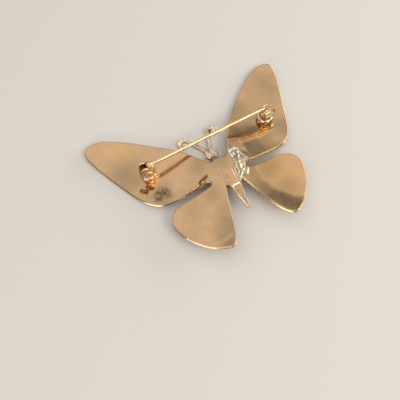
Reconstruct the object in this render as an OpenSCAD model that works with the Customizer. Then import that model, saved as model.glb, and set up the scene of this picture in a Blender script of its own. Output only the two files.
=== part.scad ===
// Butterfly brooch, lying on its face with the pin side up.
// X runs across the wings, Y from the tail to the head, Z up, away from the surface it lies on.
// The origin is on that surface, under the middle of the brooch.

/* [Wings] */
// Distance between the two forewing tips
wingspan = 58; // [44:0.5:80]
// Length from the hindwing ends to the forewing tips
wing_l = 43; // [34:0.5:60]
// Thickness of the wing sheet
sheet_t = 0.9; // [0.6:0.05:1.4]
// Radius of the hollow pressed into each forewing
forewing_dish_r = 85; // [60:1:140]
// Radius of the hollow pressed into each hindwing
hindwing_dish_r = 21.5; // [18:0.5:40]
// Height of the lowest spot of a hindwing above that of a forewing
hindwing_lift = 1.4; // [0.8:0.1:2.2]
// Width of the slot between a forewing and a hindwing
slot_w = 1.6; // [1:0.1:2.4]

/* [Body] */
// Distance from the neck end of the thorax to the tip of the tail
body_l = 15.7; // [12:0.1:20]
// Greatest width of the thorax
thorax_w = 6.2; // [5:0.1:8]
// Width of the root plate that joins the four wings
root_w = 10.4; // [9:0.1:14]
// Height of the highest spot of the root plate
back_h = 4.5; // [4.2:0.05:5.4]
// Height of the body's back above the root plate
body_rise = 0.12; // [0.05:0.01:0.3]
// Width of the abdomen behind its ring
abdomen_w = 2.5; // [1.8:0.1:3.2]
// Thickness of the walls beside the abdomen's hollow
abdomen_wall = 0.35; // [0.25:0.05:0.5]

/* [Head and antennae] */
// Width of the head plate
head_w = 2.7; // [2:0.1:4]
// Length of the head plate
head_l = 2.6; // [2:0.1:4]
// Thickness of the head plate and the antennae
head_t = 0.95; // [0.6:0.05:1.3]
// Diameter of the eyes
eye_d = 1; // [0.7:0.05:1.4]
// Width of the antenna strip along its stalk
antenna_w = 0.9; // [0.7:0.05:1.3]
// Depth of the groove along the back of the antennae
groove_depth = 0.35; // [0.15:0.05:0.5]
// Width of each edge beside that groove
groove_edge = 0.25; // [0.15:0.05:0.35]
// Mean length of the straight part of the antennae
stalk_l = 5.6; // [4:0.1:8]
// Mean radius of the crook at the end of the antennae
crook_r = 1; // [0.8:0.05:1.4]

/* [Pin stem] */
// Diameter of the pin wire
stem_d = 0.9; // [0.7:0.05:1.1]
// Length from the hinge rivet to the sharp tip
stem_l = 36.1; // [32:0.1:44]
// Length of the sharpened part
point_l = 3; // [1.5:0.1:5]
// Height of the pin wire above the surface that the brooch lies on
stem_h = 5.1; // [4.9:0.05:6]
// Distance of the pin wire in front of the brooch's middle
stem_y = 6.9; // [5.5:0.1:9]

/* [Hinge] */
// Distance of the hinge rivet from the brooch's middle
hinge_x = 16.2; // [13:0.1:19]
// Diameter of the rivet
rivet_d = 0.8; // [0.6:0.05:1]
// Diameter of the eye at the end of the stem
stem_eye_d = 1.8; // [1.5:0.05:2.1]
// Width of the eye along the rivet
stem_eye_w = 1.1; // [0.9:0.05:1.4]
// Thickness of each ear of the hinge
ear_t = 0.5; // [0.35:0.05:0.8]
// Diameter of the rounded lobes of the ears
ear_d = 1.9; // [1.6:0.05:2.3]
// Distance between the two lobes of an ear
lobe_step = 1.8; // [1.4:0.05:2.2]
// Diameter of the round pads under the hinge and the catch
pad_d = 4.2; // [3.6:0.1:5]
// Height of the pads above the wing
pad_h = 0.65; // [0.4:0.05:0.9]
// Height of the bridge between the feet of the ears
bridge_h = 1.2; // [0.8:0.1:2]
// Running clearance round the rivet
rivet_fit = 0.03; // [0.02:0.005:0.05]
// Clearance on each side of the eye
eye_side_gap = 0.08; // [0.05:0.01:0.15]

/* [Catch] */
// Distance of the catch's near end from the brooch's middle
catch_x = 17; // [13:0.1:18]
// Length of the catch barrel
catch_l = 2.5; // [2:0.1:3.2]
// Distance of the barrel's middle behind the line of the wire
catch_shift = 0.35; // [0:0.05:0.4]
// Clearance on each side of the wire in the catch's mouth
wire_fit = 0.1; // [0.08:0.01:0.2]
// Gap between the closed sleeve and the wire that lies above it
wire_lie = 0.05; // [0.03:0.01:0.2]
// Wall of the turning safety sleeve
sleeve_wall = 0.3; // [0.2:0.05:0.4]
// Running clearance between sleeve and barrel
barrel_fit = 0.05; // [0.03:0.01:0.1]
// Wall of the barrel
barrel_wall = 0.6; // [0.4:0.05:0.8]
// Length of the sleeve beyond the barrel's far end
sleeve_over = 0.75; // [0.6:0.05:1]
// Thickness of the sleeve's lever
lever_t = 0.45; // [0.3:0.05:0.6]
// Width of the lever beside the slot
lever_w = 0.45; // [0.3:0.05:0.6]
// Height of the lever's round end above the sleeve's middle
lever_reach = 1.85; // [1.4:0.05:2]
// Diameter of the lever's round end
lever_end_d = 0.7; // [0.5:0.05:0.9]

/* [Repair] */
// Height of the solder left on the right wing root
solder_h = 0.35; // [0.2:0.05:0.6]

/* [Hidden] */

gold = [0.80, 0.64, 0.45];
bright_gold = [0.93, 0.80, 0.55];
solder_grey = [0.75, 0.77, 0.70];

half_span = wingspan / 2;
half_l = wing_l / 2;
round_fn = 64;
dish_fn = 180;
tall = 20;

// Lowest spot of each wing's hollow, as shares of half the span and half the length
forewing_low = [0.79 * half_span, 0.47 * half_l];
hindwing_low = [0.405 * half_span, -0.50 * half_l];

// Root end of the slot between the wings, and its middle line there
slot_root_x = 0.176 * half_span;
slot_y = -0.205 * half_l;

// Wing outlines, columns: share of half the span, share of half the length
forewing_edge = [
    [0.035, 0.040], [0.078, 0.032], [0.114, 0.090], [0.164, 0.205], [0.217, 0.325],
    [0.293, 0.440], [0.414, 0.595], [0.552, 0.758], [0.690, 0.893], [0.793, 0.972],
    [0.880, 1.000], [0.952, 0.990], [0.993, 0.935], [0.995, 0.842], [0.962, 0.688],
    [0.903, 0.479], [0.834, 0.260], [0.769, 0.074], [0.703, -0.056], [0.631, -0.136],
    [0.545, -0.172], [0.414, -0.176]
];
hindwing_edge = [
    [0.483, -0.262], [0.550, -0.289], [0.596, -0.332], [0.626, -0.396], [0.635, -0.465],
    [0.627, -0.528], [0.607, -0.601], [0.583, -0.667], [0.548, -0.744], [0.504, -0.816],
    [0.457, -0.881], [0.406, -0.933], [0.348, -0.980], [0.303, -1.000], [0.268, -0.968],
    [0.238, -0.905], [0.205, -0.800], [0.172, -0.680], [0.143, -0.570], [0.117, -0.465],
    [0.092, -0.375], [0.070, -0.315]
];

// Outline of the solder on the right wing root, columns as above
solder_edge = [
    [0.110, 0.060], [0.150, 0.085], [0.205, 0.070], [0.215, -0.050], [0.240, -0.130],
    [0.190, -0.150], [0.150, -0.190], [0.180, -0.260], [0.145, -0.325], [0.100, -0.330],
    [0.055, -0.345], [0.070, -0.230], [0.095, -0.090]
];

// Places along the body, measured from the neck end of the thorax
neck_y = 0.051 * half_l;
tail_y = neck_y - body_l;
ring_y = neck_y - 0.57 * body_l;
body_axis_h = thorax_w / 2;

// Radius of the body at shares of its length from the neck; columns: share, share of half the width
thorax_profile = [[0, 0.35], [0.06, 0.72], [0.16, 0.94], [0.27, 1], [0.38, 0.86], [0.48, 0.58], [0.565, 0.41]];

// Root oval, the longer oval in which the wings are levelled, and the dome of the back
root_l = 0.375 * half_l;
level_l = 0.49 * half_l;
dome_r = 3.4 * root_w;
dome_top_y = neck_y - 0.48 * body_l;

// Head and neck; an antenna's columns: side, lean from the body's line, shares of the mean stalk and crook
head_y = neck_y + 0.19 * body_l;
antennae = [[-1, 31, 1.12, 1.02], [1, 20, 0.98, 1.05]];
crook_turn = 200;
crook_growth = 0.3;

// Hinge: inner face of each ear from the wire's line, and the rivet with its small heads
ear_inner = stem_eye_w / 2 + eye_side_gap;
rivet_head = 0.05;
rivet_l = 2 * (ear_inner + ear_t + rivet_head);

// Catch: the mouth lets the wire through beside the barrel's middle; the wire lies just above the closed sleeve
mouth_w = stem_d + 2 * (catch_shift + wire_fit);
sleeve_d = mouth_w + 2 * sleeve_wall;
barrel_bore_d = sleeve_d + 2 * barrel_fit;
catch_d = barrel_bore_d + 2 * barrel_wall;
barrel_y = stem_y - catch_shift;
barrel_h = stem_h - wire_lie - stem_d / 2 - sleeve_d / 2;

// Smooth curve through a list of points, with n steps between each pair
function curve_point(a, b, c, d, t) =
    0.5 * (2 * b + (c - a) * t + (2 * a - 5 * b + 4 * c - d) * t * t + (3 * b - a - 3 * c + d) * t * t * t);
function smooth(p, n) = [
    for (i = [0:len(p) - 2], k = [0:n - 1])
        curve_point(p[max(i - 1, 0)], p[i], p[i + 1], p[min(i + 2, len(p) - 1)], k / n),
    p[len(p) - 1]
];
function scaled(p) = [for (q = p) [q[0] * half_span, q[1] * half_l]];

// Height of a wing's upper face at a place, from its hollow
function dish_height(x, y, low, r, base) = base + r - sqrt(r * r - pow(x - low[0], 2) - pow(y - low[1], 2));
function forewing_height(x, y) = dish_height(abs(x), y, forewing_low, forewing_dish_r, sheet_t);

// Sheet of even thickness that follows a round hollow
module dished_sheet(low, r, base) {
    intersection() {
        linear_extrude(tall) children();
        translate([low[0], low[1], base + r]) difference() {
            sphere(r + sheet_t, $fn = dish_fn);
            sphere(r, $fn = dish_fn);
        }
    }
}

module forewing() {
    slot_top = slot_y + slot_w / 2;
    root = [[slot_root_x + slot_w, slot_top], [slot_root_x, slot_top - slot_w / 4], [0.07 * half_span, slot_y]];
    dished_sheet(forewing_low, forewing_dish_r, sheet_t)
        polygon(concat(smooth(scaled(forewing_edge), 4), root));
}

module hindwing() {
    slot_bottom = slot_y - slot_w / 2;
    root = [[0.07 * half_span, slot_y], [slot_root_x, slot_bottom + slot_w / 4], [slot_root_x + slot_w, slot_bottom]];
    dished_sheet(hindwing_low, hindwing_dish_r, sheet_t + hindwing_lift)
        polygon(concat(smooth(scaled(hindwing_edge), 4), root));
}

// Large ball whose top is the gently domed back of the body, highest towards the tail
module back_dome(less = 0) {
    translate([0, dome_top_y, back_h - dome_r]) rotate([90, 0, 0]) sphere(dome_r - less, $fn = dish_fn);
}

// Oval of the body's root, of length l from the neck backwards, as a tall prism
module root_prism(l, margin = 0) {
    translate([0, neck_y - l / 2, 0]) linear_extrude(tall)
        polygon([for (a = [0:6:354]) [(root_w / 2 - margin) * cos(a), (l / 2 - margin) * sin(a)]]);
}

// Domed plate under the thorax, of the same sheet as the wings
module root_plate() {
    intersection() {
        root_prism(root_l);
        difference() {
            back_dome();
            back_dome(sheet_t);
        }
    }
}

// The four wings, levelled to the dome where they meet
module wings() {
    difference() {
        for (m = [0, 1]) mirror([m, 0, 0]) {
            forewing();
            hindwing();
        }
        difference() {
            root_prism(level_l, sheet_t / 4);
            back_dome(sheet_t / 12);
        }
    }
}

// Round body, cut flat just above the root plate; the turned profile lies along Y
module thorax() {
    profile = [for (q = thorax_profile) [q[1] * thorax_w / 2, -q[0] * body_l]];
    intersection() {
        translate([0, neck_y, body_axis_h]) rotate([-90, 0, 0]) mirror([0, 0, 1]) rotate_extrude($fn = round_fn)
            polygon(concat([[0, 0]], [for (q = profile) [q[0], -q[1]]], [[0, -profile[len(profile) - 1][1]]]));
        back_dome(-body_rise);
    }
}

// Tapering tail, hollow on its back, with a ring at its root
module abdomen() {
    taper_l = ring_y - tail_y;
    root_r = abdomen_w / 2;
    tip_r = 0.2 * root_r;
    ring_r = 1.1 * root_r;
    ring_t = 0.2 * abdomen_w;
    difference() {
        union() {
            translate([0, ring_y, body_axis_h]) rotate([90, 0, 0]) cylinder(taper_l, root_r, tip_r, $fn = round_fn);
            translate([0, ring_y + ring_t / 2, body_axis_h]) rotate([90, 0, 0])
                cylinder(ring_t, r = ring_r, $fn = round_fn);
        }
        translate([0, ring_y - ring_t / 2, body_axis_h + 0.55 * root_r]) rotate([90, 0, 0])
            cylinder(0.86 * taper_l, root_r - 0.6 * abdomen_wall, 0.2 * tip_r, $fn = round_fn);
    }
}

// Sloping strip from inside the thorax down to the head plate
module neck() {
    neck_w = 0.6 * head_w;
    root = [neck_y - 0.4 * body_axis_h, 0.62 * body_axis_h];
    step = [head_y - 0.35 * head_l, 0.05 * head_t] - root;
    translate([-neck_w / 2, root[0], root[1]]) rotate([atan2(step[1], step[0]), 0, 0])
        cube([neck_w, norm(step), head_t]);
}

module head() {
    corner_r = 0.18 * head_w;
    translate([0, head_y, 0]) {
        linear_extrude(head_t) union() {
            square([head_w - 2 * corner_r, head_l], center = true);
            square([head_w, head_l - 2 * corner_r], center = true);
            for (sx = [-1, 1], sy = [-1, 1])
                translate([sx * (head_w / 2 - corner_r), sy * (head_l / 2 - corner_r)])
                    circle(corner_r, $fn = round_fn / 2);
        }
        for (side = [-1, 1]) translate([side * 0.46 * head_w, -0.05 * head_l, 0])
            cylinder(0.9 * head_t, d = eye_d, $fn = round_fn / 2);
    }
}

// Middle line of an antenna: a straight stalk, then a crook that turns outwards
function stalk_end(lean, stalk) = [stalk * sin(lean), stalk * cos(lean)];
function crook_centre(lean, stalk, r) = stalk_end(lean, stalk) + r * [cos(lean), -sin(lean)];
function antenna_line(lean, stalk, r, turn) = concat(
    [for (k = [0:3]) stalk_end(lean, stalk * k / 4)],
    [for (k = [0:16]) crook_centre(lean, stalk, r) - r * [cos(lean + turn * k / 16), -sin(lean + turn * k / 16)]]
);
function across(p, i) =
    let (a = p[max(i - 1, 0)], b = p[min(i + 1, len(p) - 1)], d = (b - a) / norm(b - a)) [-d[1], d[0]];
function strip(p, w, grow) = concat(
    [for (i = [0:len(p) - 1]) p[i] + across(p, i) * (w / 2) * (1 + grow * i / len(p))],
    [for (i = [len(p) - 1:-1:0]) p[i] - across(p, i) * (w / 2) * (1 + grow * i / len(p))]
);

module antenna(side, lean, stalk, r) {
    path = antenna_line(lean, stalk, r, crook_turn);
    translate([side * 0.2 * head_w, head_y + 0.45 * head_l, 0]) mirror([side < 0 ? 1 : 0, 0, 0]) difference() {
        linear_extrude(head_t) polygon(strip(path, antenna_w, crook_growth));
        translate([0, 0, head_t - groove_depth]) linear_extrude(head_t)
            polygon(strip(path, antenna_w - 2 * groove_edge, crook_growth));
    }
}

// Round pad seated in the hollow of a forewing
module pad(x, y) {
    foot = forewing_height(x, y) - sheet_t / 2;
    translate([x, y, foot]) cylinder(sheet_t / 2 + pad_h, d = pad_d, $fn = round_fn);
}

// Two ears with round lobes over the rivet and behind it, on a pad
module hinge() {
    ear_foot = forewing_height(hinge_x, stem_y);
    pad(-hinge_x - lobe_step / 2, stem_y);
    difference() {
        union() {
            for (side = [-1, 1]) translate([-hinge_x, stem_y + side * (ear_inner + ear_t / 2), 0]) {
                for (step = [0, lobe_step]) translate([-step, 0, stem_h]) rotate([90, 0, 0])
                    cylinder(ear_t, d = ear_d, center = true, $fn = round_fn);
                translate([-lobe_step - ear_d / 2, -ear_t / 2, ear_foot])
                    cube([lobe_step + ear_d, ear_t, stem_h - 0.1 * ear_d - ear_foot]);
            }
            translate([-hinge_x - lobe_step - ear_d / 2, stem_y - ear_inner - ear_t / 2, ear_foot])
                cube([lobe_step + ear_d, 2 * ear_inner + ear_t, bridge_h]);
        }
        translate([-hinge_x, stem_y, stem_h]) rotate([90, 0, 0])
            cylinder(tall, d = rivet_d + 2 * rivet_fit, center = true, $fn = round_fn);
    }
}

// Barrel with a mouth on top, on a pad; the safety sleeve turns inside it
module catch() {
    foot = forewing_height(catch_x, stem_y);
    foot_w = 0.6 * catch_d;
    pad(catch_x + catch_l / 2, barrel_y);
    difference() {
        union() {
            translate([catch_x, barrel_y, barrel_h]) rotate([0, 90, 0]) cylinder(catch_l, d = catch_d, $fn = round_fn);
            translate([catch_x, barrel_y - foot_w / 2, foot]) cube([catch_l, foot_w, barrel_h - foot]);
        }
        translate([catch_x - catch_l, barrel_y, barrel_h]) rotate([0, 90, 0])
            cylinder(3 * catch_l, d = barrel_bore_d, $fn = round_fn);
        translate([catch_x - catch_l, barrel_y - mouth_w / 2, barrel_h]) cube([3 * catch_l, mouth_w, catch_d]);
    }
}

// Lump of solder over the mended root of the right wings
module solder() {
    intersection() {
        linear_extrude(tall) polygon(scaled(solder_edge));
        difference() {
            back_dome(-solder_h);
            back_dome(sheet_t / 2);
        }
    }
}

module butterfly() {
    color(gold) {
        wings();
        root_plate();
        thorax();
        abdomen();
        neck();
        head();
        for (a = antennae) antenna(a[0], a[1], a[2] * stalk_l, a[3] * crook_r);
    }
    color(bright_gold) {
        hinge();
        catch();
    }
    color(solder_grey) solder();
}

module pin_stem() {
    wire_l = stem_l - point_l;
    color(bright_gold) difference() {
        translate([-hinge_x, stem_y, stem_h]) {
            rotate([0, 90, 0]) cylinder(wire_l, d = stem_d, $fn = round_fn);
            translate([wire_l, 0, 0]) rotate([0, 90, 0]) cylinder(point_l, stem_d / 2, stem_d * 0.06, $fn = round_fn);
            rotate([90, 0, 0]) cylinder(stem_eye_w, d = stem_eye_d, center = true, $fn = round_fn);
        }
        translate([-hinge_x, stem_y, stem_h]) rotate([90, 0, 0])
            cylinder(stem_eye_w * 2, d = rivet_d + 2 * rivet_fit, center = true, $fn = round_fn);
    }
}

module hinge_rivet() {
    color(gold) translate([-hinge_x, stem_y, stem_h]) rotate([90, 0, 0])
        cylinder(rivet_l, d = rivet_d, center = true, $fn = round_fn);
}

// Slotted sleeve that turns in the barrel, with a lever beyond the barrel's far end
module catch_sleeve() {
    sleeve_l = catch_l + sleeve_over;
    color(bright_gold) translate([catch_x, barrel_y, barrel_h]) difference() {
        union() {
            rotate([0, 90, 0]) cylinder(sleeve_l, d = sleeve_d, $fn = round_fn);
            translate([sleeve_l - lever_t, -mouth_w / 2, 0]) {
                translate([0, -lever_w, 0]) cube([lever_t, lever_w, lever_reach]);
                translate([0, -lever_end_d / 2, lever_reach]) rotate([0, 90, 0])
                    cylinder(lever_t, d = lever_end_d, $fn = round_fn);
            }
        }
        translate([-sleeve_l, 0, 0]) rotate([0, 90, 0]) cylinder(3 * sleeve_l, d = mouth_w, $fn = round_fn);
        translate([-sleeve_l, -mouth_w / 2, 0]) cube([3 * sleeve_l, mouth_w, sleeve_d]);
    }
}

butterfly();
pin_stem();
hinge_rivet();
catch_sleeve();
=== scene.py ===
import math

import bmesh
import bpy
from mathutils import Matrix, Vector, kdtree, noise


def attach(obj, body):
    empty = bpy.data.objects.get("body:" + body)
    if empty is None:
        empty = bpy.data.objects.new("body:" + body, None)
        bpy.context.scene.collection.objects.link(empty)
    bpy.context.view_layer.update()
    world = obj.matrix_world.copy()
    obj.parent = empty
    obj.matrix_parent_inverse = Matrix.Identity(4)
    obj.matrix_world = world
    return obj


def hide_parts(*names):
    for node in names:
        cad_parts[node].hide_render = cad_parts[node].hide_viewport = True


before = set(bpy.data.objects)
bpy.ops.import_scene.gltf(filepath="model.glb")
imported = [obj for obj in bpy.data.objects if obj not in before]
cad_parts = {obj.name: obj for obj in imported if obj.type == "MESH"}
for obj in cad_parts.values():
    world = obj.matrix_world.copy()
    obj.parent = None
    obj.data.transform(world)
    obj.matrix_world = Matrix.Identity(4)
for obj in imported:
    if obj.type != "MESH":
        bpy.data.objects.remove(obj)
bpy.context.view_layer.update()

# ---------------------------------------------------------------------------
# The wings, and the plate at their root: one sheet of thin brass, stamped so
# that each wing is hollow on its back, with a narrow slot between each
# forewing and hindwing, then polished and plated a warm gold.
# ---------------------------------------------------------------------------
# Sizes are in mm. Each wing is a round dish, with a lowest point and a radius, and the root is a dome.
half_span, half_length, sheet = 29.0, 21.5, 0.9
fore_low, fore_round = (22.91, 10.105), 85.0
hind_low, hind_round, hind_lift = (11.745, -10.75), 21.5, 1.4
back_top, back_round, back_y = 4.5, 35.36, -6.44
root_wide, root_long, root_y = 5.2, 4.03, -2.93

# The right half of the outline, from the neck round to the tail. The wings' edges are in shares
# of the half span and the half length.
neck_edge = [(0.0, 1.09), (0.6, 1.02)]
forewing_edge = [
    (0.035, 0.040), (0.078, 0.032), (0.114, 0.090), (0.164, 0.205), (0.217, 0.325),
    (0.293, 0.440), (0.414, 0.595), (0.552, 0.758), (0.690, 0.893), (0.793, 0.972),
    (0.880, 1.000), (0.952, 0.990), (0.993, 0.935), (0.995, 0.842), (0.962, 0.688),
    (0.903, 0.479), (0.834, 0.260), (0.769, 0.074), (0.703, -0.056), (0.631, -0.136),
    (0.545, -0.172), (0.414, -0.176)]
slot_edge = [
    (6.70, -3.61), (5.45, -3.72), (5.12, -4.02), (5.02, -4.41), (5.12, -4.80), (5.45, -5.10), (6.70, -5.21)]
hindwing_edge = [
    (0.483, -0.262), (0.550, -0.289), (0.596, -0.332), (0.626, -0.396), (0.635, -0.465),
    (0.627, -0.528), (0.607, -0.601), (0.583, -0.667), (0.548, -0.744), (0.504, -0.816),
    (0.457, -0.881), (0.406, -0.933), (0.348, -0.980), (0.303, -1.000), (0.268, -0.968),
    (0.238, -0.905), (0.205, -0.800), (0.172, -0.680), (0.143, -0.570), (0.117, -0.465),
    (0.092, -0.375), (0.070, -0.315)]
tail_edge = [(1.66, -6.86), (1.42, -7.40), (1.24, -7.84), (0.0, -7.86)]


def smooth_line(points, steps):
    """A smooth line through the points, with so many steps between each pair."""
    line = []
    for i in range(len(points) - 1):
        before, after = points[max(i - 1, 0)], points[min(i + 2, len(points) - 1)]
        for k in range(steps):
            t = k / steps
            line.append(tuple(
                0.5 * (2 * q + (r - p) * t + (2 * p - 5 * q + 4 * r - s) * t * t
                       + (3 * q - p - 3 * r + s) * t ** 3)
                for p, q, r, s in zip(before, points[i], points[i + 1], after)))
    return line + [points[-1]]


def wing_line(shares, steps):
    """A smooth line in mm through points in shares of the half span and the half length."""
    return [(x * half_span, y * half_length) for x, y in smooth_line(shares, steps)]


def both_sides(half):
    """A closed outline from its right half, whose first and last points are on the middle line."""
    return half + [(-x, y) for x, y in reversed(half[1:-1])]


def ease(low, high, value):
    """0 below low, 1 above high, and smooth between them."""
    t = min(max((value - low) / (high - low), 0.0), 1.0)
    return t * t * (3 - 2 * t)


def hollow(x, y, low, radius):
    """Rise in mm of a round dish above its lowest point."""
    return radius - math.sqrt(max(radius * radius - (x - low[0]) ** 2 - (y - low[1]) ** 2, 1.0))


def back_height(x, y):
    """Height in mm of the sheet's hollow side above the table: two dishes that meet along the
    slot, and the dome of the root, which stays round down to the tail's ring."""
    x = abs(x)
    fore = sheet + hollow(x, y, fore_low, fore_round)
    hind = sheet + hind_lift + hollow(x, y, hind_low, hind_round)
    wing = hind + (fore - hind) * ease(-5.2, -3.6, y)
    dome = back_top - hollow(x, y, (0, back_y), back_round)
    beside = ease(1.3, 2.4, x) if y < back_y else 1.0
    return dome + (wing - dome) * ease(1.0, 1.5, math.hypot(x / root_wide, (y - root_y) / root_long)) * beside


def stamped_height(x, y):
    """The same, with the forewings' edges beside the slots as they are: the left one turned down
    at the slot's root, and the right one bent up a little all along it."""
    turned = bent = 0.0
    if -13 < x < -4.6 and y > -4.3:
        fold_y = -2.35 + 0.21 * (x + 5.2)
        turned = max(fold_y - y, 0.0) * ease(-4.7, -6.4, x) * ease(-13, -11, x)
    if x > 3.5 and y > -4.6:
        bent = 0.20 * (1 - math.tanh((y - 4.0) / 2.4)) * ease(3.5, 8.5, x) * ease(-4.6, -3.4, y)
    return back_height(x, y) - 0.6 * turned + bent


def front_height(x, y):
    """Height of the sheet's other side: the same form, one sheet thickness away."""
    here, step, steepest = back_height(x, y), 0.05, 1.5
    steep = math.hypot(back_height(x + step, y) - here, back_height(x, y + step) - here) / step
    return here - sheet * math.sqrt(1 + min(steep, steepest) ** 2)


def stamped_front(x, y):
    return front_height(x, y) - (back_height(x, y) - stamped_height(x, y))


def pressed_sheet(outline, step, top, under, round_top, round_under):
    """A closed sheet in mm: the outline cut into squares of one step, its rims rounded, and
    pressed to two heights."""
    rim_line = []
    for a, b in zip(outline, outline[1:] + outline[:1]):
        cuts = math.ceil(math.dist(a, b) / (1.6 * step))
        rim_line += [(a[0] + (b[0] - a[0]) * k / cuts, a[1] + (b[1] - a[1]) * k / cuts) for k in range(cuts)]
    bm = bmesh.new()
    rim = bm.verts.layers.float.new("rim")
    face = bm.faces.new([bm.verts.new((x, y, 0)) for x, y in rim_line])
    for part in (0.12, 0.20, 0.28, 0.40, 0.6):
        bmesh.ops.inset_region(
            bm, faces=[face], thickness=part * round_top, use_even_offset=True, use_boundary=True)
    field = [face] + list(face.edges) + list(face.verts)
    for axis, normal in enumerate((Vector((1, 0, 0)), Vector((0, 1, 0)))):
        low = min(v.co[axis] for v in bm.verts)
        high = max(v.co[axis] for v in bm.verts)
        for k in range(math.floor(low / step), math.ceil(high / step) + 1):
            field = bmesh.ops.bisect_plane(
                bm, geom=field, dist=1e-5, plane_co=normal * (k + 0.5) * step, plane_no=normal)["geom"]

    # "rim" is 0 on the outline and 1 where the rounding of the rim ends.
    rim_points = kdtree.KDTree(len(rim_line))
    for k, (x, y) in enumerate(rim_line):
        rim_points.insert((x, y, 0), k)
    rim_points.balance()
    for v in bm.verts:
        nearest = rim_points.find(v.co)[1]
        gap = 9.0
        for k in (nearest - 1, nearest):
            a, b = Vector(rim_line[k] + (0,)), Vector(rim_line[(k + 1) % len(rim_line)] + (0,))
            t = min(max((v.co - a).dot(b - a) / (b - a).length_squared, 0), 1)
            gap = min(gap, (v.co - a - t * (b - a)).length)
        v[rim] = min(gap / round_top, 1.0)
    bmesh.ops.remove_doubles(bm, verts=[v for v in bm.verts if v[rim] > 0.999], dist=0.15 * step)

    made = bmesh.ops.extrude_face_region(bm, geom=bm.faces[:], use_keep_orig=True)["geom"]
    lower = {g for g in made if isinstance(g, bmesh.types.BMVert)}
    for v in bm.verts:
        bend = 1 - math.sqrt(1 - (1 - v[rim]) ** 2)
        x, y = v.co.x, v.co.y
        v.co.z = under(x, y) + round_under * bend if v in lower else top(x, y) - round_top * bend
    bmesh.ops.recalc_face_normals(bm, faces=bm.faces[:])
    if bm.calc_volume(signed=True) < 0:
        bmesh.ops.reverse_faces(bm, faces=bm.faces[:])
    return bm


def set_piece(bm, name, material, body, crease=None):
    """Turns a mesh in mm into a finished piece in metres that rides on its body."""
    bmesh.ops.scale(bm, vec=(0.001, 0.001, 0.001), verts=bm.verts[:])
    mesh = bpy.data.meshes.new(name)
    bm.to_mesh(mesh)
    bm.free()
    mesh.shade_smooth()
    if crease:
        mesh.set_sharp_from_angle(angle=math.radians(crease))
    mesh.materials.append(material)
    marks = mesh.attributes.new("marks", "FLOAT_COLOR", "POINT")
    marks.data.foreach_set("color", [0.0] * 4 * len(mesh.vertices))
    piece = bpy.data.objects.new(name, mesh)
    bpy.context.scene.collection.objects.link(piece)
    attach(piece, body)
    return piece


def paint(piece, mark_at):
    """Writes a piece's marks: four amounts at each of its points, worked out from x, y, z in mm."""
    for v, mark in zip(piece.data.vertices, piece.data.attributes["marks"].data):
        mark.color = mark_at(*(v.co * 1000))


def linear(colour, alpha=1.0):
    """An sRGB hex colour as linear light."""
    parts = [int(colour[i:i + 2], 16) / 255 for i in (0, 2, 4)]
    return tuple(p / 12.92 if p <= 0.04045 else ((p + 0.055) / 1.055) ** 2.4 for p in parts) + (alpha,)


def add(tree, kind, settings, **links):
    """Adds a node with its settings, and links its inputs. A name such as _7 is an input's number."""
    node = tree.nodes.new(kind)
    for key, value in settings.items():
        if key == "stops":
            while len(node.color_ramp.elements) < len(value):
                node.color_ramp.elements.new(0.5)
            for element, (place, colour) in zip(node.color_ramp.elements, value):
                element.position, element.color = place, linear(colour)
        elif key[0] == "_":
            node.inputs[int(key[1:])].default_value = value
        elif key in node.inputs:
            node.inputs[key].default_value = value
        else:
            setattr(node, key, value)
    for key, source in links.items():
        tree.links.new(source, node.inputs[int(key[1:]) if key[0] == "_" else key.replace("_", " ")])
    return node


def new_metal(name):
    """A material with its tree, its shader and its object coordinates."""
    material = bpy.data.materials.new(name)
    material.use_nodes = True
    tree = material.node_tree
    shader = tree.nodes["Principled BSDF"]
    shader.inputs["Metallic"].default_value = 1.0
    place = add(tree, "ShaderNodeTexCoord", {}).outputs["Object"]
    return material, tree, shader, place


# Rose-gold plate over stamped and polished brass: mirror-like but satin, so it shows soft
# reflections, faint clouds of greyer and pinker metal, and the slight waves of the stamping. Each
# noise has the scale 1 / a real size in metres: the clouds are 9 mm wide, the waves 4.5 mm, the
# ragged edges of the marks 0.7 mm and the blisters 0.9 mm. The mesh colour "marks" holds stains and
# painted light: red is a smoky smudge and a band of painted shade, green bare copper, blue patches of
# painted shade, and alpha amber, which beside the catch is painted reflection of the wire and catch.
# Where alpha or green is high, the plating is blistered too.
gold_plate, tree, shader, place = new_metal("rose_gold_plate_satin")
clouds = add(tree, "ShaderNodeTexNoise", {"Scale": 1 / 0.009, "Detail": 6.0, "Roughness": 0.62}, Vector=place)
gold = add(tree, "ShaderNodeValToRGB", {"stops": [(0.32, "C2A27E"), (0.50, "D3AF87"), (0.68, "DFB886")]},
           Fac=clouds.outputs["Fac"])
painted = add(tree, "ShaderNodeVertexColor", {"layer_name": "marks"})
marks = add(tree, "ShaderNodeSeparateColor", {}, Color=painted.outputs["Color"])
ragged = add(tree, "ShaderNodeTexNoise", {"Scale": 1 / 0.0007, "Detail": 5.0, "Roughness": 0.6}, Vector=place)
edge = add(tree, "ShaderNodeMapRange", {"From Min": 0.32, "From Max": 0.60, "To Min": 0.1, "To Max": 1.35},
           Value=ragged.outputs["Fac"])
smoke_and_shade, copper, amber_and_reflection = (
    add(tree, "ShaderNodeMath", {"operation": "MULTIPLY", "use_clamp": True},
        _0=amount, _1=edge.outputs["Result"]).outputs["Value"]
    for amount in (marks.outputs["Red"], marks.outputs["Green"], painted.outputs["Alpha"]))
skin = gold.outputs["Color"]
# Layers over the gold: painted shade (958062), amber that beside the catch is painted reflection (F4B362),
# smoke with a band of painted shade (5E503E), and bare copper (7A4526).
for amount, colour in (
        (marks.outputs["Blue"], "958062"), (amber_and_reflection, "F4B362"), (smoke_and_shade, "5E503E"), (copper, "7A4526")):
    layer = add(tree, "ShaderNodeMix", {"data_type": "RGBA", "_7": linear(colour)}, _0=amount, _6=skin)
    skin = layer.outputs[2]
tree.links.new(skin, shader.inputs["Base Color"])

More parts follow.
